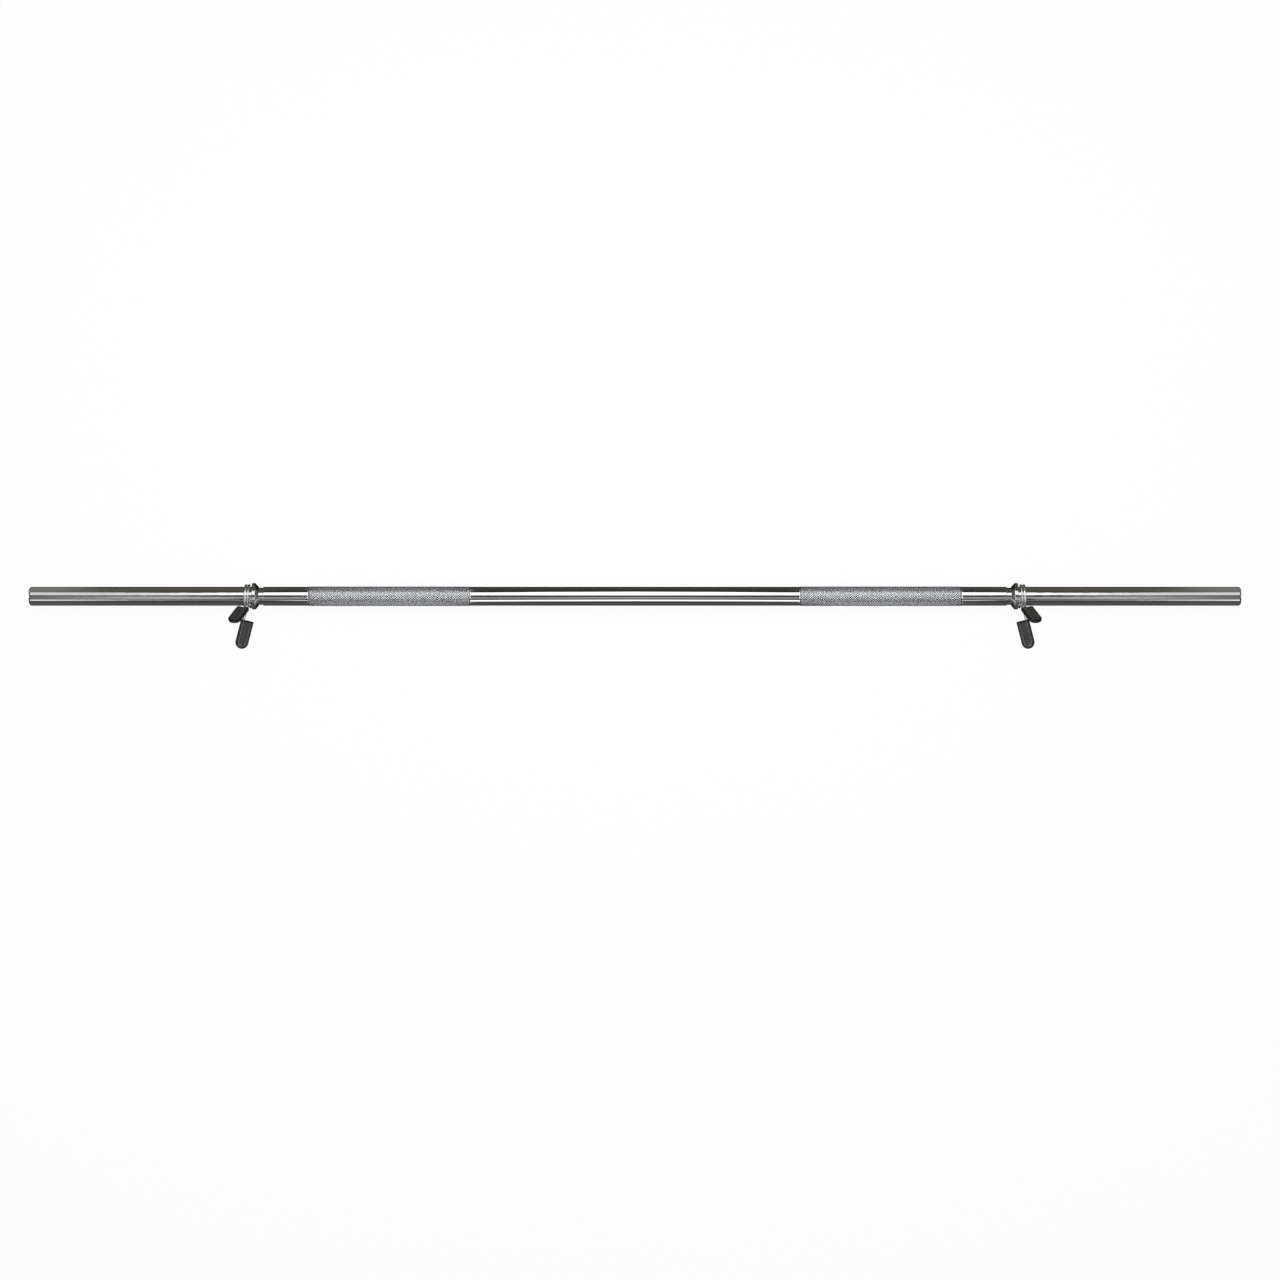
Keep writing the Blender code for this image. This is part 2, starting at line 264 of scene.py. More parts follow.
# Panels of the set, at distances from the middle of the bar as the chrome there shows them: the
# distance, the angles of a panel's two edges from straight up towards +Y, and its brightness
PANELS = {
    "key": (
        (0.00, 10, 57, 1.5),
        (0.13, 10, 53, 1.5),
        (0.22, 11, 46, 1.5),
        (0.50, 11, 48, 1.4),
        (0.53, 12.5, 47, 1.4),
        (0.62, 14, 42, 1.25),
        (0.73, 13, 41, 0.86),
        (0.80, 13, 46, 0.74),
        (0.90, 13, 48, 0.80),
        (1.00, 13, 48, 0.80),
    ),
    "gap": (
        (0.00, -8, 10, 0.01),
        (0.53, -8, 12, 0.04),
        (0.62, -8, 14, 0.09),
        (0.71, -9, 13, 0.27),
        (0.90, -9, 13, 0.12),
        (1.00, -9, 13, 0.12),
    ),
    "fill": (
        (0.00, -21, -9, 0.52),
        (0.20, -21, -9, 0.30),
        (0.53, -21, -9, 0.34),
        (0.72, -21, -9, 0.60),
        (0.90, -21, -9, 0.16),
        (1.00, -21, -9, 0.16),
    ),
    "low_fill": (
        (0.00, -34, -21, 0.20),
        (0.53, -34, -21, 0.32),
        (0.70, -34, -21, 0.50),
        (0.90, -34, -21, 0.12),
        (1.00, -34, -21, 0.12),
    ),
    "rim": (
        (0.00, -62, -42, 1.5),
        (0.13, -64, -44, 1.5),
        (0.25, -69, -48, 1.4),
        (0.27, -60, -46, 0.10),
        (0.46, -60, -46, 0.10),
        (0.49, -60, -48, 0.75),
        (0.54, -60, -38, 0.17),
        (0.66, -60, -36, 0.19),
        (0.76, -60, -36, 0.30),
        (0.80, -59, -40, 0.60),
        (0.90, -58, -42, 1.15),
        (1.00, -58, -42, 1.15),
    ),
    "over_knurl": ((0.262, -10, 56, 2.9), (0.460, -10, 56, 2.9)),
    "strip": ((0.262, -32, -10, 3.6), (0.460, -32, -10, 3.6)),
    "far_side": ((0.26, 58, 100, 0.70), (0.47, 58, 100, 0.70)),
    "near_side": ((0.26, -106, -62, 1.0), (0.47, -106, -62, 1.0)),
}
PANEL_EDGE = 1.5
LAST_PLACE = 1.0

# Arch that carries the panels. Towards its own ends it fades into the pale surroundings
ARCH_RADIUS = 1.9
ARCH_HALF_LENGTH = 4.0
ARCH_FADE_FROM = 2.0
ARCH_STEPS = 120
ARCH_BAYS = 400

# Dark flags on the far and near side: their tone high up and low down, and what is added to it
# beside the sleeves and the ends. Each change happens between two angles or two distances
FLAG_FAR = (0.034, 0.060, 0.050, 0.115)
FLAG_NEAR = (0.044, 0.092, 0.012, 0.010)
FLAG_TURNS = (78, 92)
FLAG_SLEEVE_PLACES = (0.50, 0.60)
FLAG_END_PLACES = (0.78, 0.86)

# Tint of the flags, which is gone where the set is bright
FAR_TINT = (1.0, 0.93, 0.80)
NEAR_TINT = (1.0, 0.965, 0.92)
TINTED_BELOW = (0.1, 0.3)

# Flags along the bar, just over the floor: darkest this close to it, on its far and near side
FLAG_HEIGHT = 0.0008
FLAG_LEVEL = FLOOR_Z + FLAG_HEIGHT
FLAG_ROWS = (0.0150, 0.034, 0.046, 0.054, 0.10, 0.20, 0.40)
FLAG_BESIDE_FAR = 0.050
FLAG_BESIDE_NEAR = 0.036
FLAG_BESIDE_TONE = 0.012

# Low flags that stand across, beyond both ends of the bar
END_FLAG_PLACE = 1.7
END_FLAG_HALF_WIDTH = 0.8
END_FLAG_HEIGHT = 0.42

# Camera: high above the bar, a little towards the grips
CAMERA_PLACE = (0.00743, -0.065, 8.277)
CAMERA_LENS = 156.66
SENSOR_WIDTH = 36.0


def smooth_step(value, low, high):
    share = min(max((value - low) / (high - low), 0.0), 1.0)
    return share * share * (3 - 2 * share)


def turns_of(steps):
    """The angles of equal steps round a whole circle."""
    return [math.tau * step / steps for step in range(steps)]


def fill(tree, made, inputs):
    """Gives a shader node its inputs: each a number, a colour or another node's output."""
    for name, value in inputs.items():
        if isinstance(value, bpy.types.NodeSocket):
            tree.links.new(value, made.inputs[name])
        else:
            made.inputs[name].default_value = value


def node(tree, kind, inputs=None, **settings):
    """Adds a shader node with its settings and its inputs."""
    made = tree.nodes.new(kind)
    for name, value in settings.items():
        setattr(made, name, value)
    fill(tree, made, inputs or {})
    return made


def maths(tree, operation, first, second=0.0):
    return node(tree, "ShaderNodeMath", {0: first, 1: second}, operation=operation).outputs[0]


def ramp(tree, value, low, high, to_low=0.0, to_high=1.0):
    """A smooth step of a value from one range to another."""
    inputs = {"Value": value, "From Min": low, "From Max": high, "To Min": to_low, "To Max": to_high}
    return node(tree, "ShaderNodeMapRange", inputs, interpolation_type="SMOOTHSTEP").outputs[0]


def object_place(tree):
    """The object's own coordinates."""
    return node(tree, "ShaderNodeTexCoord").outputs["Object"]


def noise(tree, scale, detail, stretch=(1, 1, 1)):
    """Noise in the object's own coordinates, with each axis scaled first."""
    place = node(tree, "ShaderNodeMapping", {"Vector": object_place(tree), "Scale": stretch})
    inputs = {"Scale": scale, "Detail": detail, "Vector": place.outputs["Vector"]}
    return node(tree, "ShaderNodeTexNoise", inputs).outputs["Fac"]


def at_points(tree, name, output="Fac"):
    """What a mesh stores for each of its points."""
    return node(tree, "ShaderNodeAttribute", attribute_name=name).outputs[output]


def mixed(tree, share, first, second):
    """A colour that turns from the first to the second as a share rises to one."""
    inputs = {"Factor": share, "A": first, "B": second}
    return node(tree, "ShaderNodeMix", inputs, data_type="RGBA").outputs["Result"]


def bump(tree, height, distance, normal=None):
    inputs = {"Height": height, "Strength": 1.0, "Distance": distance}
    if normal is not None:
        inputs["Normal"] = normal
    return node(tree, "ShaderNodeBump", inputs).outputs["Normal"]


def new_material(name):
    """A new material, and its tree with the usual surface shader in it."""
    material = bpy.data.materials.new(name)
    material.use_nodes = True
    return material, material.node_tree


def bare_material(name):
    """A new material, and its tree with nothing in it."""
    material, tree = new_material(name)
    tree.nodes.clear()
    return material, tree


def shade(tree, inputs):
    """Gives the surface shader its inputs."""
    fill(tree, tree.nodes["Principled BSDF"], inputs)


def bar_chrome():
    """Bright plating: a clear mirror in the middle, satin with turning marks towards the ends."""
    material, tree = new_material("bar_chrome")
    along = node(tree, "ShaderNodeSeparateXYZ", {0: object_place(tree)}).outputs["X"]
    outward = maths(tree, "ABSOLUTE", along)
    dull = ramp(tree, outward, *BAR_DULLING, *BAR_ROUGHNESS)
    smudges = maths(tree, "MULTIPLY", noise(tree, *BAR_SMUDGES), BAR_SMUDGE_ROUGHNESS)
    begun = ramp(tree, outward, *WAVES_BEGIN)
    left = ramp(tree, outward, *WAVES_END, 1.0, WAVES_ELSEWHERE)
    wavy = maths(tree, "MAXIMUM", maths(tree, "MULTIPLY", begun, left), WAVES_ELSEWHERE)
    waves = bump(tree, maths(tree, "MULTIPLY", noise(tree, *WAVES), wavy), WAVE_HEIGHT)
    satin = ramp(tree, outward, *BAR_RINGS_BEGIN)
    rings = maths(tree, "MULTIPLY", noise(tree, *BAR_RINGS), satin)
    inputs = {
        "Base Color": BAR_COLOUR,
        "Metallic": 1.0,
        "Roughness": maths(tree, "ADD", dull, smudges),
        "Normal": bump(tree, rings, RING_HEIGHT, waves),
    }
    shade(tree, inputs)
    return material


def knurl_chrome():
    """Plating on the knurl: duller in the grooves than on the worn tops, and darker there with painted
    shade and some oil.
    """
    material, tree = new_material("knurl_chrome")
    raised = at_points(tree, "raised")
    # Out of the grooves' painted shade and oil: the tops have the plain plating's colour
    top = ramp(tree, raised, *KNURL_TOPS)
    worn = ramp(tree, raised, 0.0, 1.0, *KNURL_ROUGHNESS)
    speckle = maths(tree, "MULTIPLY", noise(tree, *KNURL_SPECKLE), KNURL_SPECKLE_ROUGHNESS)
    inputs = {
        "Base Color": mixed(tree, top, KNURL_GROOVE_SHADE_AND_OIL_COLOUR, KNURL_TOP_COLOUR),
        "Metallic": 1.0,
        "Roughness": maths(tree, "ADD", worn, speckle),
    }
    shade(tree, inputs)
    return material


def collar_chrome():
    """Plating on a turned collar, with fine turning marks round it."""
    material, tree = new_material("collar_chrome")
    smudges = noise(tree, *COLLAR_SMUDGES)
    inputs = {
        "Base Color": COLLAR_COLOUR,
        "Metallic": 1.0,
        "Roughness": ramp(tree, smudges, *COLLAR_SMUDGE_RANGE, *COLLAR_ROUGHNESS),
        "Normal": bump(tree, noise(tree, *COLLAR_RINGS), RING_HEIGHT),
    }
    shade(tree, inputs)
    return material


def spring_steel():
    """Plated spring wire, with the faint unevenness of drawn and bent wire."""
    material, tree = new_material("spring_steel")
    smudges = noise(tree, *WIRE_SMUDGES)
    inputs = {
        "Base Color": WIRE_COLOUR,
        "Metallic": 1.0,
        "Roughness": ramp(tree, smudges, *WIRE_SMUDGE_RANGE, *WIRE_ROUGHNESS),
        "Normal": bump(tree, noise(tree, *WIRE_DENTS), WIRE_DENT_HEIGHT),
    }
    shade(tree, inputs)
    return material


def dipped_vinyl():
    """Dark vinyl with a fine pebbled skin, and painted shade that darkens its edges and mouth and takes
    their shine.

    The crest over the wire inside a grip is the most polished.
    """
    material, tree = new_material("dipped_vinyl")
    # Where the pad is free of the painted shade that darkens its edges and mouth and takes their shine
    unshaded = at_points(tree, "unshaded")
    crest = at_points(tree, "crest")
    mottle = ramp(tree, noise(tree, *VINYL_MOTTLE), *VINYL_MOTTLE_RANGE, *VINYL_MOTTLE_SHARE)
    smears = ramp(tree, noise(tree, *VINYL_SMEARS), *VINYL_SMEAR_RANGE, *VINYL_ROUGHNESS)
    pale = maths(tree, "MULTIPLY", unshaded, mottle)
    polish = ramp(tree, crest, *VINYL_CREST_RANGE, *VINYL_CREST_POLISH)
    gloss = ramp(tree, crest, *VINYL_CREST_RANGE, *VINYL_CREST_GLOSS)
    inputs = {
        "Base Color": mixed(tree, pale, VINYL_EDGE_SHADE_COLOUR, VINYL_FACE_COLOUR),
        "Roughness": maths(tree, "MULTIPLY", smears, polish),
        "Specular IOR Level": maths(tree, "MULTIPLY", unshaded, gloss),
        "Normal": bump(tree, noise(tree, *VINYL_PEBBLES), VINYL_PEBBLE_HEIGHT),
    }
    shade(tree, inputs)
    return material


def add_object(name, data):
    obj = bpy.data.objects.new(name, data)
    bpy.context.scene.collection.objects.link(obj)
    return obj


def smoothed(mesh, sharp_angle, merged=False):
    """Turns a mesh's faces outward, and smooths its shading apart from its sharp edges."""
    work = bmesh.new()
    work.from_mesh(mesh)
    if merged:
        bmesh.ops.remove_doubles(work, verts=work.verts, dist=MERGE_DISTANCE)
    bmesh.ops.recalc_face_normals(work, faces=work.faces)
    work.to_mesh(mesh)
    work.free()
    mesh.shade_smooth()
    mesh.set_sharp_from_angle(angle=math.radians(sharp_angle))


def mesh_object(name, verts, faces, maps, sharp_angle=SHARP_ANGLE):
    """A mesh with its unwrapping, its faces turned outward and its round faces smooth."""
    mesh = bpy.data.meshes.new(name)
    mesh.from_pydata(verts, [], faces)
    layer = mesh.uv_layers.new(name="OFBake")
    corners = [corner for face in maps for corner in face]
    layer.data.foreach_set("uv", [value for corner in corners for value in corner])
    smoothed(mesh, sharp_angle)
    return add_object(name, mesh)


def store_at_points(mesh, name, values):
    layer = mesh.attributes.new(name, "FLOAT", "POINT")
    layer.data.foreach_set("value", values)


def finished(piece, material, node_name, body=None):
    """Gives a piece its material and slot, the node it stands for, and the body it rides on."""
    piece.data.materials.append(material)
    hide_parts(node_name)
    if body:
        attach(piece, body)


def skin(name, rings, looped=False):
    """A closed mesh over rings of points, capped at both ends unless the rings close in a loop."""
    steps = len(rings[0])
    runs = [0.0]
    for before, after in zip(rings, rings[1:]):
        runs.append(runs[-1] + max((a - b).length for a, b in zip(before, after)))
    if looped:
        runs.append(runs[-1] + (rings[0][0] - rings[-1][0]).length)
    shares = [SIDES_SHARE * run / runs[-1] for run in runs]
    faces = []
    maps = []
    for ring, (left, right) in enumerate(zip(shares, shares[1:])):
        first = ring * steps
        second = (ring + 1) % len(rings) * steps
        for step in range(steps):
            turn = (step + 1) % steps
            faces.append((first + step, second + step, second + turn, first + turn))
            near = step / steps
            far = (step + 1) / steps
            maps.append(((left, near), (right, near), (right, far), (left, far)))
    if not looped:
        for first, (across, up) in zip((0, (len(rings) - 1) * steps), CAP_CENTRES):
            faces.append(tuple(range(first, first + steps)))
            spokes = [(CAP_SHARE * math.cos(turn), CAP_SHARE * math.sin(turn)) for turn in turns_of(steps)]
            maps.append([(across + x, up + y) for x, y in spokes])
    return mesh_object(name, [point for ring in rings for point in ring], faces, maps)


def bend(before, corner, after, radius):
    """The points of an arc that rounds the corner of a path."""
    back = (before - corner).normalized()
    ahead = (after - corner).normalized()
    opening = back.angle(ahead)
    centre = corner + (back + ahead).normalized() * radius / math.sin(opening / 2)
    spoke = corner + back * radius / math.tan(opening / 2) - centre
    axis = spoke.cross(-back)
    turns = [(math.pi - opening) * step / BEND_STEPS for step in range(BEND_STEPS + 1)]
    return [centre + Matrix.Rotation(turn, 3, axis) @ spoke for turn in turns]


def eased(points, radius, looped=False):
    """A path with its corners rounded, apart from its two ends unless it is a loop."""
    path = [Vector((x, radial, 0)) for x, radial in points]
    if looped:
        path = [path[-1], *path, path[0]]
    rounded = [] if looped else [path[0]]
    for before, corner, after in zip(path, path[1:], path[2:]):
        rounded += bend(before, corner, after, radius)
    if not looped:
        rounded.append(path[-1])
    return rounded


def held(path):
    """A path with a point close to each end of its long runs, so that they are shaded straight."""
    points = [path[0]]
    for before, after in zip(path, path[1:]):
        run = after - before
        if run.length > LONG_RUN:
            step = run.normalized() * HOLD
            points += [before + step, after - step]
        points.append(after)
    return points


def turned(name, profile, looped=False):
    """Turns a profile of (along, radius) points about the bar's axis."""
    turns = turns_of(TURNED_STEPS)
    rings = [
        [Vector((point.x, point.y * math.cos(turn), point.y * math.sin(turn))) for turn in turns]
        for point in held(profile)
    ]
    return skin(name, rings, looped)


def tube(name, path):
    """A round wire along a path, with its section carried along without twist."""
    rings = []
    side = None
    for index, point in enumerate(path):
        ahead = path[min(index + 1, len(path) - 1)] - path[max(index - 1, 0)]
        ahead.normalize()
        if side is None:
            side = ahead.orthogonal()
        side = (side - ahead * side.dot(ahead)).normalized()
        other = ahead.cross(side)
        spokes = [side * math.cos(turn) + other * math.sin(turn) for turn in turns_of(WIRE_SIDES)]
        rings.append([point + spoke * WIRE_RADIUS for spoke in spokes])
    return skin(name, rings)


def build_bar(material):
    """The whole rod, with a seat for each knurl and a neck for each collar."""
    end = BAR_LENGTH / 2
    half = [
        (KNURL_INNER, BAR_RADIUS),
        (KNURL_INNER, BAR_RADIUS - KNURL_SEAT),
        (KNURL_OUTER, BAR_RADIUS - KNURL_SEAT),
        (KNURL_OUTER, BAR_RADIUS),
        (GROOVE_INNER, BAR_RADIUS),
        (GROOVE_INNER + GROOVE_SLOPE, BAR_RADIUS - GROOVE_DEPTH),
        (GROOVE_OUTER, BAR_RADIUS - GROOVE_DEPTH),
        (GROOVE_OUTER, BAR_RADIUS),
        (end - END_CHAMFER, BAR_RADIUS),
        (end - END_CHAMFER / 2 + CHAMFER_CROWN, BAR_RADIUS - END_CHAMFER / 2 + CHAMFER_CROWN),
        (end, BAR_RADIUS - END_CHAMFER),
        (end, BAR_RADIUS / 2),
    ]
    profile = [(-along, radius) for along, radius in half[::-1]] + half
    bar = turned("bar", eased(profile, EDGE_EASE))
    finished(bar, material, "shaft", "bar")


class Knurl:
    """The points and faces of a knurl, by their row along it and their turn about the bar."""

    def __init__(self, outward):
        self.outward = outward
        self.verts = []
        self.heights = []
        self.faces = []
        self.maps = []

    def add_point(self, row, turn, radius, height=0.0):
        """Adds a point, and gives its number, its row and its turn."""
        along = self.outward * (KNURL_INNER + row * KNURL_SPACING)
        angle = math.tau * turn / KNURL_AROUND
        self.verts.append((along, radius * math.cos(angle), radius * math.sin(angle)))
        self.heights.append(height / KNURL_DEPTH)
        return len(self.verts) - 1, row, turn

    def add_raised(self, row, turn, height):
        """Adds a point at a height over the grooves, which is less close to the knurl's ends."""
        to_end = min(row, KNURL_ROWS - row) * KNURL_SPACING
        radius = KNURL_FOOT + height * smooth_step(to_end, 0.0, KNURL_FADE)
        return self.add_point(row, turn, radius, height)

    def add_face(self, corners):
        self.faces.append([number for number, _, _ in corners])
        per_turn = DIAMONDS_SHARE / (KNURL_AROUND + 2)
        self.maps.append([(row / KNURL_ROWS, (turn + 1) * per_turn) for _, row, turn in corners])

    def add_diamond(self, row, turn, outline, chance):
        """Steps up from an outline in the grooves to a worn and slightly leaning top."""
        wear = chance.uniform(-KNURL_WEAR, 0.0)
        lean = chance.uniform(-KNURL_LEAN, KNURL_LEAN)
        for size, share in KNURL_STEPS:
            inner = []
            for a, b in WAYS:
                height = share * (KNURL_DEPTH + wear + lean * (a + b))
                inner.append(self.add_raised(row + a * size, turn + b * size, height))
            for index in range(len(WAYS)):
                after = (index + 1) % len(WAYS)
                self.add_face([outline[index], outline[after], inner[after], inner[index]])
            outline = inner
        self.add_face(outline)

    def add_sleeve(self, grooves):
        """Closes the knurl with a bore, and with a rim at each end from the grooves to the bore."""
        turns = range(0, KNURL_AROUND, 2)
        loops = [
            [grooves[0, turn] for turn in turns],
            [self.add_point(0, turn, KNURL_BORE) for turn in turns],
            [self.add_point(KNURL_ROWS, turn, KNURL_BORE) for turn in turns],
            [grooves[KNURL_ROWS, turn] for turn in turns],
        ]
        for first, second, (low, high) in zip(loops, loops[1:], SLEEVE_SHARES):
            for index in range(KNURL_STARTS):
                after = (index + 1) % KNURL_STARTS
                corners = (first[index], first[after], second[after], second[index])
                self.faces.append([number for number, _, _ in corners])
                near = index / KNURL_STARTS
                far = (index + 1) / KNURL_STARTS
                self.maps.append(((near, low), (far, low), (far, high), (near, high)))


def build_knurl(end, outward, material):
    """A band of flat-topped diamonds on a sleeve that sits in the bar's seat."""
    knurl = Knurl(outward)
    grooves = {}
    for row in range(KNURL_ROWS + 1):
        for turn in range(row % 2, KNURL_AROUND, 2):
            grooves[row, turn] = knurl.add_point(row, turn, KNURL_FOOT)
    chance = random.Random(KNURL_SEED + outward)
    for row in range(KNURL_ROWS + 1):
        for turn in range((row + 1) % 2, KNURL_AROUND, 2):
            places = [(row + a, turn + b) for a, b in WAYS if 0 <= row + a <= KNURL_ROWS]
            outline = [(grooves[r, t % KNURL_AROUND][0], r, t) for r, t in places]
            if len(outline) < len(WAYS):
                knurl.add_face(outline)
            else:
                knurl.add_diamond(row, turn, outline, chance)
    knurl.add_sleeve(grooves)
    piece = mesh_object(end + "_knurl", knurl.verts, knurl.faces, knurl.maps, KNURL_SHARP_ANGLE)
    store_at_points(piece.data, "raised", knurl.heights)
    finished(piece, material, "shaft", "bar")


def build_collar(end, outward, material):
    """The flanged ring, with its edges eased."""
    rim_radius = BAR_RADIUS + RIM_RISE
    groove_bore = BAR_RADIUS - GROOVE_DEPTH + FIT
    toe = RIM_THICKNESS + CONE_LENGTH
    profile = [
        (0, BAR_RADIUS + FIT),
        (0, rim_radius - RIM_CHAMFER),
        (RIM_CHAMFER, rim_radius),
        (RIM_THICKNESS - RIM_CHAMFER, rim_radius),
        (RIM_THICKNESS, rim_radius - RIM_CHAMFER),
        (toe, groove_bore + TOE_WALL),
        (toe, groove_bore),
        (COLLAR_LIP + FIT, groove_bore),
        (COLLAR_LIP + FIT, BAR_RADIUS + FIT),
    ]
    placed = [(outward * (COLLAR_FACE - back), radius) for back, radius in profile]
    ring = turned(end + "_flange", eased(placed, EDGE_EASE, looped=True), looped=True)
    finished(ring, material, end + "_collar", "bar")


def round_the_bar(outward, angle, radius, out):
    """A point at an angle and a radius about the bar, and a distance out from the collar's face."""
    turn = math.radians(angle)
    return Vector((outward * (COLLAR_FACE + out), radius * math.cos(turn), radius * math.sin(turn)))


def coil_path(outward):
    """The helix, with an end that leaves it straight along its tangent at each end."""
    steps = math.ceil(COIL_STEPS * COIL_SWEEP / 360)
    turns = []
    for step in range(steps + 1):
        angle = COIL_START_ANGLE + COIL_SWEEP * step / steps
        out = COIL_START + (COIL_END - COIL_START) * step / steps
        turns.append(round_the_bar(outward, angle, COIL_RADIUS, out))
    centre = round_the_bar(outward, 0, 0, 0)
    start = turns[0] + round_the_bar(outward, COIL_START_ANGLE - 90, STRAIGHT_END, 0) - centre
    end = turns[-1] + round_the_bar(outward, COIL_END_ANGLE + 90, STRAIGHT_END, 0) - centre
    return [start, *turns, end]


def leg_frame(outward, handle, sense):
    """Turns a leg's own directions into the world's: out along it, sideways, and off the collar."""
    centre = round_the_bar(outward, 0, 0, 0)
    out = round_the_bar(outward, handle, 1, 0) - centre
    sideways = round_the_bar(outward, handle + 90 * sense, 1, 0) - centre
    turn = Matrix((out, sideways, (outward, 0, 0))).transposed()
    return Matrix.Translation(centre) @ turn.to_4x4()


def half_circle(centre, side, ahead):
    """The points of a half circle from one side of its centre, round ahead of it, to the other."""
    turns = [math.pi * step / TIP_STEPS for step in range(TIP_STEPS + 1)]
    return [centre + side * math.cos(turn) + ahead * math.sin(turn) for turn in turns]


def leg_shape(tilt, sense, coil_end):
    """A leg in its own frame: its wire's points, its grip's mouth, and the grip's X and Y axes."""
    turn = math.radians(LEG_TURN)
    lean = math.radians(tilt)
    half_span = HAIRPIN_SPAN / 2
    tangent = Vector((COIL_RADIUS * math.cos(turn), COIL_RADIUS * math.sin(turn), coil_end))
    elbow = Vector((COIL_RADIUS / math.cos(turn), 0, coil_end))
    start = tangent + (elbow - tangent).normalized() * STRAIGHT_END
    ahead = Vector((math.cos(lean), 0, math.sin(lean)))
    entry_side = Vector((math.sin(lean), 0, -math.cos(lean))) * sense
    entry = elbow + ahead * (ELBOW_RISE + entry_side.x * half_span) / ahead.x
    mouth = entry - entry_side * half_span
    hairpin = half_circle(mouth + ahead * TIP_CENTRE, entry_side * half_span, ahead * half_span)
    free_end = mouth - entry_side * half_span + ahead * FREE_END_DEPTH
    points = [start, *bend(start, elbow, entry, ELBOW_RADIUS), *hairpin, free_end]
    return points, mouth, ahead, entry_side


def inward_from_outline(point):
    return GRIP_HALF_WIDTH - math.hypot(max(point.x - TIP_CENTRE, 0), point.y)


def roll_share(inward):
    """One over the middle of the wire inside the pad, and none beside it."""
    wire = GRIP_HALF_WIDTH - HAIRPIN_SPAN / 2
    return 1 - smooth_step(abs(inward - wire), 0.0, ROLL_HALF_WIDTH)


def crest_share(point):
    return roll_share(inward_from_outline(point))


def face_share(point):
    """One on the pad's faces and along the middle of its sides, and none on its edges and mouth, where
    shade is painted.
    """
    face = smooth_step(inward_from_outline(point), *OUTLINE_SHADE_FADE)
    side = SIDE_UNSHADED_SHARE * (1 - smooth_step(abs(point.z), *SIDE_SHADE_FADE))
    return max(face, side) * smooth_step(point.x, 0, OUTLINE_SHADE_FADE[1])


def round_inset(depth, radius):
    """How far a rounded edge lies inside the square one, at a depth in from it."""
    left = max(radius - depth, 0.0)
    return radius - math.sqrt(radius**2 - left**2)


def pad_height(inward, along):
    """Half the pad's thickness at a distance in from its outline and along from its mouth."""
    roll = ROLL_HEIGHT * roll_share(inward)
    panel_edge = GRIP_HALF_WIDTH - PANEL_HALF_WIDTH
    sunk = smooth_step(inward, panel_edge - PANEL_SLOPE, panel_edge)
    sunk *= smooth_step(along, PANEL_INSET - PANEL_SLOPE, PANEL_INSET)
    return GRIP_HALF_THICKNESS - round_inset(inward, GRIP_ROUND) + roll - PANEL_DEPTH * sunk


def pad_rib(outline, inward, along, inset=0.0):
    """The pad's section at one place of its outline, from one face's middle to the other's."""
    quarter = math.pi / 2
    depths = [GRIP_ROUND * (1 - math.cos(quarter * step / EDGE_STEPS)) for step in range(EDGE_STEPS + 1)]
    width = GRIP_HALF_WIDTH - GRIP_ROUND
    depths += [GRIP_ROUND + width * step / FACE_STEPS for step in range(1, FACE_STEPS + 1)]
    top = []
    for depth in depths:
        squeezed = inset * (1 - depth / GRIP_HALF_WIDTH)
        height = max(pad_height(depth, along) - inset, LEAST_HEIGHT)
        top.append(outline + inward * (depth + squeezed) + Vector((0, 0, height)))
    bottom = [Vector((point.x, point.y, -point.z)) for point in top]
    return top[::-1] + bottom


def side_ribs(side, stations):
    """The pad's sections along one of its straight sides, with its lip rounded at the mouth."""
    ribs = []
    for along in stations:
        outline = Vector((along, side * GRIP_HALF_WIDTH, 0))
        ribs.append(pad_rib(outline, Vector((0, -side, 0)), along, round_inset(along, LIP_ROUND)))
    return ribs


def tip_ribs():
    """The pad's sections round its tip."""
    ribs = []
    for step in range(TIP_STEPS + 1):
        turn = math.pi / 2 - math.pi * step / TIP_STEPS
        spoke = Vector((math.cos(turn), math.sin(turn), 0))
        outline = Vector((TIP_CENTRE, 0, 0)) + spoke * GRIP_HALF_WIDTH
        ribs.append(pad_rib(outline, -spoke, outline.x))
    return ribs


def grid_faces(rows, columns):
    """Faces between neighbours in rows of points."""
    starts = [row * columns + column for row in range(rows - 1) for column in range(columns - 1)]
    return [(start, start + 1, start + columns + 1, start + columns) for start in starts]


def grip_mesh():
    """The pad in its own frame, with its mouth at the origin, its tip along +X and the wire at +Y."""
    stations = list(LIP_STATIONS)
    straight = TIP_CENTRE - LIP_STATIONS[-1]
    stations += [LIP_STATIONS[-1] + straight * step / PAD_STATIONS for step in range(1, PAD_STATIONS)]
    ribs = side_ribs(1, stations) + tip_ribs() + side_ribs(-1, stations[::-1])
    count = len(ribs[0])
    faces = grid_faces(len(ribs), count)
    last = (len(ribs) - 1) * count
    faces.append([*range(count), *range(last + count - 1, last - 1, -1)])
    mesh = bpy.data.meshes.new("grip")
    mesh.from_pydata([point for rib in ribs for point in rib], [], faces)
    smoothed(mesh, SHARP_ANGLE, merged=True)
    # Masks for the painted shade on the edges and mouth, and for the crest over the wire
    for name, share in (("unshaded", face_share), ("crest", crest_share)):
        store_at_points(mesh, name, [share(vert.co) for vert in mesh.vertices])
    return mesh


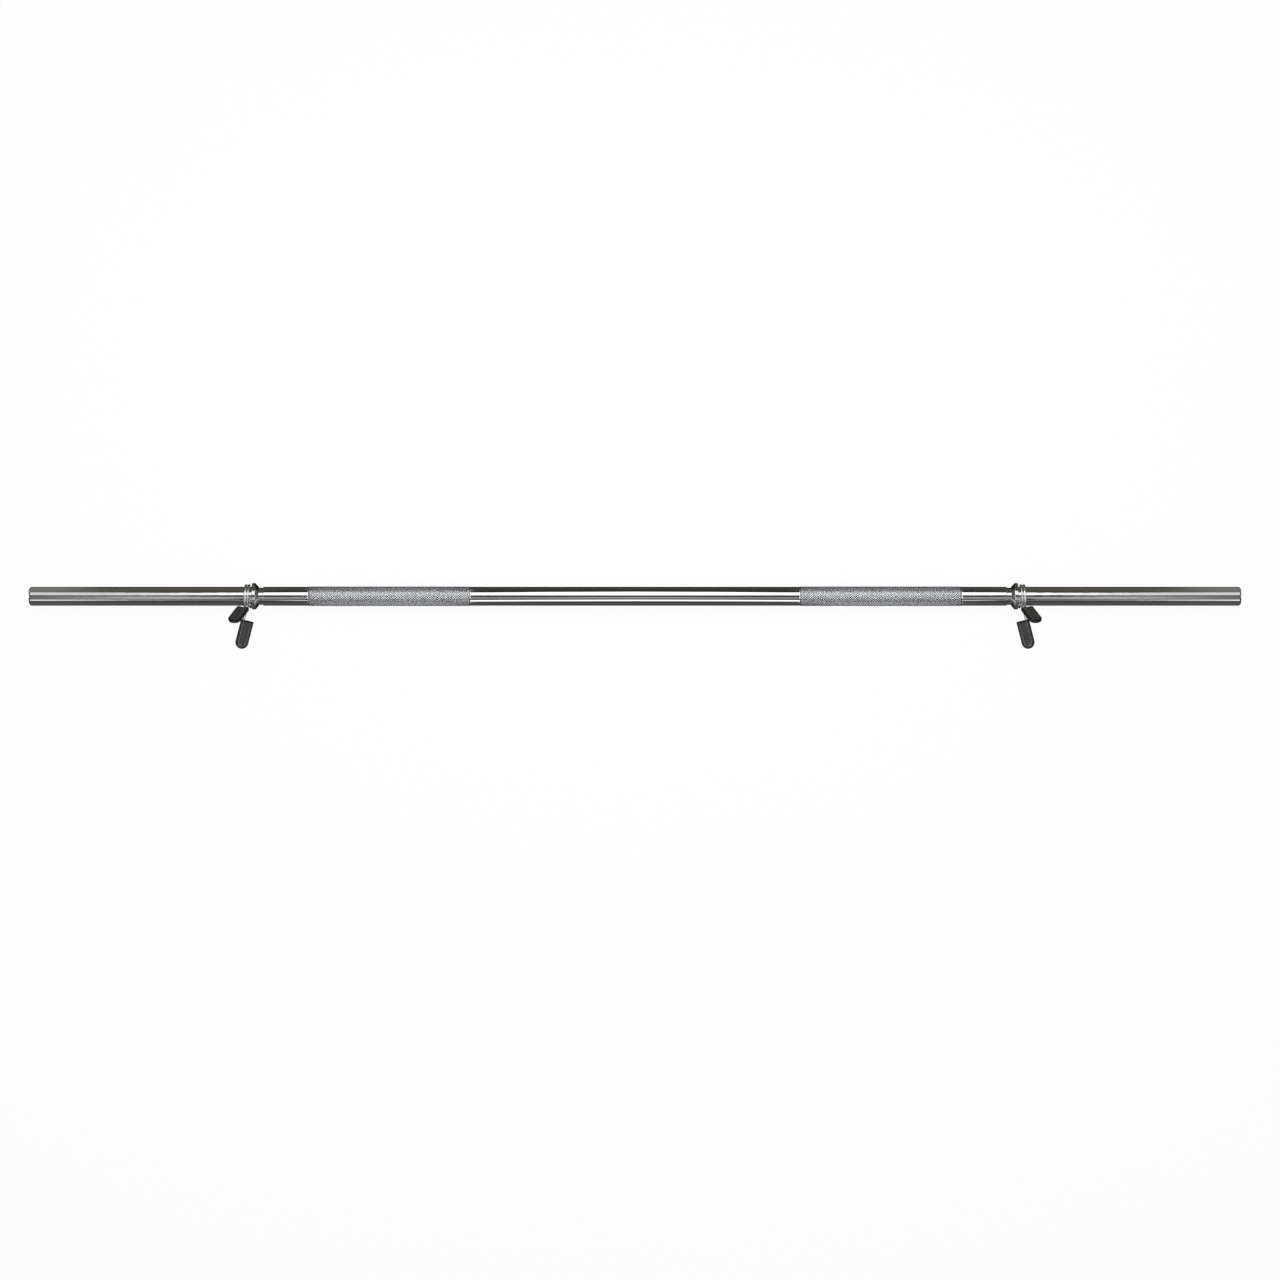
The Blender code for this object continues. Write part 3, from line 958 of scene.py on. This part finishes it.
def build_clip(end, outward, steel, vinyl):
    """One clip: its coil, and a wire leg and a dipped grip at each end of it."""
    coil = tube(end + "_spring", coil_path(outward))
    finished(coil, steel, end + "_coil")
    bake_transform(coil)
    for name, (handle, tilt, sense, coil_end) in LEGS.items():
        arm = f"{end}_{name}_arm"
        placed = leg_frame(outward, handle, sense)
        points, mouth, ahead, entry_side = leg_shape(tilt, sense, coil_end)
        leg = tube(f"{end}_{name}_wire", [placed @ point for point in points])
        finished(leg, steel, f"{end}_{name}_leg", arm)
        turn = placed.to_3x3()
        length = turn @ ahead
        width = turn @ entry_side
        grip = grip_mesh()
        facing = Matrix((length, width, length.cross(width))).transposed().to_4x4()
        grip.transform(Matrix.Translation(placed @ mouth) @ facing)
        pad = add_object(f"{end}_{name}_pad", grip)
        finished(pad, vinyl, f"{end}_{name}_grip", arm)


def seen_rays(tree):
    """One for the rays that show the background: from the camera, off metal and through glass."""
    rays = node(tree, "ShaderNodeLightPath")
    straight = maths(tree, "MAXIMUM", rays.outputs["Is Camera Ray"], rays.outputs["Is Glossy Ray"])
    return maths(tree, "MAXIMUM", straight, rays.outputs["Is Transmission Ray"])


def build_world():
    """Plain surroundings that fill the shadows, and look white wherever they are seen."""
    world = bpy.data.worlds.new("studio")
    world.use_nodes = True
    tree = world.node_tree
    tree.nodes.clear()
    unseen = node(tree, "ShaderNodeBackground", {"Color": WHITE, "Strength": WORLD_FILL})
    shown = node(tree, "ShaderNodeBackground", {"Color": WHITE, "Strength": 1.0})
    inputs = {0: seen_rays(tree), 1: unseen.outputs[0], 2: shown.outputs[0]}
    mix = node(tree, "ShaderNodeMixShader", inputs)
    node(tree, "ShaderNodeOutputWorld", {"Surface": mix.outputs[0]})
    bpy.context.scene.world = world


def build_floor():
    """A white sheet that glows a little where it is looked at, and keeps the object's shadow."""
    half = FLOOR_SIZE / 2
    corners = [(x, y, FLOOR_Z) for x, y in ((-half, -half), (half, -half), (half, half), (-half, half))]
    mesh = bpy.data.meshes.new("floor")
    mesh.from_pydata(corners, [], [(0, 1, 2, 3)])
    material, tree = bare_material("floor")
    paper = node(tree, "ShaderNodeBsdfDiffuse", {"Color": FLOOR_COLOUR})
    glow = node(tree, "ShaderNodeEmission", {"Color": WHITE, "Strength": 1.0})
    share = maths(tree, "MULTIPLY", seen_rays(tree), FLOOR_GLOW)
    mix = node(tree, "ShaderNodeMixShader", {0: share, 1: paper.outputs[0], 2: glow.outputs[0]})
    node(tree, "ShaderNodeOutputMaterial", {"Surface": mix.outputs[0]})
    mesh.materials.append(material)
    add_object("floor", mesh)


def at_place(rows, place):
    """A panel's two edges and its brightness at a distance from the middle of the bar."""
    for before, after in zip(rows, rows[1:]):
        if place <= after[0]:
            break
    share = min(max((place - before[0]) / (after[0] - before[0]), 0.0), 1.0)
    return [a + (b - a) * share for a, b in zip(before[1:], after[1:])]


def flag_tone(angle, place, beside):
    """The tone of the dark flags at an angle and a place along the bar."""
    high, low, at_sleeve, at_end = FLAG_FAR if angle > 0 else FLAG_NEAR
    tone = high + (low - high) * smooth_step(abs(angle), *FLAG_TURNS)
    tone += at_sleeve * smooth_step(place, *FLAG_SLEEVE_PLACES)
    if beside:
        tone = FLAG_BESIDE_TONE
    return tone + at_end * smooth_step(place, *FLAG_END_PLACES)


def arch_glow(along, across, up):
    """How bright the set is at a point: the light of a panel, or the tone of the flags.

    The point belongs to the place on the bar that shows it to the camera. Beyond the last place
    it stays as it is there, and then fades into the pale surroundings.
    """
    distance = math.hypot(across, up)
    place = min(abs(along) / (1 + distance / CAMERA_PLACE[2]), LAST_PLACE)
    angle = math.degrees(math.atan2(across, up))
    beside = up < 0 and -FLAG_BESIDE_NEAR < across < FLAG_BESIDE_FAR
    glow = flag_tone(angle, place, beside)
    for rows in PANELS.values():
        if not rows[0][0] <= place <= rows[-1][0]:
            continue
        low, high, brightness = at_place(rows, place)
        share = smooth_step(angle, low - PANEL_EDGE, low + PANEL_EDGE)
        share *= 1 - smooth_step(angle, high - PANEL_EDGE, high + PANEL_EDGE)
        glow += (brightness - glow) * share
    return glow + (1 - glow) * smooth_step(abs(along), ARCH_FADE_FROM, ARCH_HALF_LENGTH)


def toned(glow, across):
    """A brightness as a colour: the flags are warm, and the lights white."""
    share = smooth_step(glow, *TINTED_BELOW)
    tints = FAR_TINT if across > 0 else NEAR_TINT
    return [glow * (tint + (1 - tint) * share) for tint in tints]


def set_section():
    """The set's outline across the bar: from the flags on the far side, over the arch, to the near."""
    turns = [math.pi * step / ARCH_STEPS for step in range(ARCH_STEPS + 1)]
    arch = [(ARCH_RADIUS * math.cos(turn), FLAG_LEVEL + ARCH_RADIUS * math.sin(turn)) for turn in turns]
    far_flags = [(across, FLAG_LEVEL) for across in FLAG_ROWS]
    near_flags = [(-across, FLAG_LEVEL) for across in FLAG_ROWS[::-1]]
    return far_flags + arch + near_flags


def set_mesh():
    """The set's section swept along the bar, a low flag beyond each end, and the glow of it all."""
    section = set_section()
    bays = [ARCH_HALF_LENGTH * (2 * bay / ARCH_BAYS - 1) for bay in range(ARCH_BAYS + 1)]
    verts = [(along, across, up) for across, up in section for along in bays]
    glows = [arch_glow(*vert) for vert in verts]
    faces = grid_faces(len(section), len(bays))
    for outward in ENDS.values():
        faces.append(tuple(range(len(verts), len(verts) + 4)))
        for side, up in ((-1, FLAG_LEVEL), (1, FLAG_LEVEL), (1, END_FLAG_HEIGHT), (-1, END_FLAG_HEIGHT)):
            verts.append((outward * END_FLAG_PLACE, side * END_FLAG_HALF_WIDTH, up))
            glows.append(FLAG_BESIDE_TONE)
    mesh = bpy.data.meshes.new("set")
    mesh.from_pydata(verts, [], faces)
    tones = mesh.attributes.new("glow", "FLOAT_COLOR", "POINT")
    colours = [(*toned(glow, vert[1]), 1.0) for glow, vert in zip(glows, verts)]
    tones.data.foreach_set("color", [value for colour in colours for value in colour])
    return mesh


def build_set():
    """The flags and soft panels round the bar, as set round chrome in a studio.

    Only reflections see them. They give the bar its bands and its dark edges.
    """
    material, tree = bare_material("set")
    glow = node(tree, "ShaderNodeEmission", {"Color": at_points(tree, "glow", "Color"), "Strength": 1.0})
    node(tree, "ShaderNodeOutputMaterial", {"Surface": glow.outputs[0]})
    mesh = set_mesh()
    mesh.materials.append(material)
    walls = add_object("set", mesh)
    walls.visible_camera = False
    walls.visible_diffuse = False
    walls.visible_transmission = False
    walls.visible_volume_scatter = False
    walls.visible_shadow = False


def build_lights():
    """The lights of whatever is matt. Polished surfaces see the set's panels in their place."""
    for name, (low, high, brightness) in SOFT_LIGHTS.items():
        light = bpy.data.lights.new(name, "AREA")
        light.shape = "RECTANGLE"
        light.size = LIGHT_LENGTH
        light.size_y = 2 * LIGHT_DISTANCE * math.tan(math.radians((high - low) / 2))
        light.energy = math.pi * brightness * light.size * light.size_y
        lamp = add_object(name, light)
        turn = math.radians((low + high) / 2)
        lamp.location = (0, LIGHT_DISTANCE * math.sin(turn), LIGHT_DISTANCE * math.cos(turn))
        lamp.rotation_euler.x = -turn
        lamp.visible_camera = False
        lamp.visible_glossy = False


def build_camera():
    """The camera, which looks straight down."""
    data = bpy.data.cameras.new("camera")
    data.lens = CAMERA_LENS
    data.sensor_width = SENSOR_WIDTH
    camera = add_object("camera", data)
    camera.location = CAMERA_PLACE
    bpy.context.scene.camera = camera


def main():
    bpy.context.scene.view_settings.view_transform = "Standard"
    chrome = bar_chrome()
    knurled = knurl_chrome()
    plated = collar_chrome()
    steel = spring_steel()
    vinyl = dipped_vinyl()
    build_bar(chrome)
    for end, outward in ENDS.items():
        build_knurl(end, outward, knurled)
        build_collar(end, outward, plated)
        build_clip(end, outward, steel, vinyl)
    build_world()
    build_floor()
    build_set()
    build_lights()
    build_camera()


main()
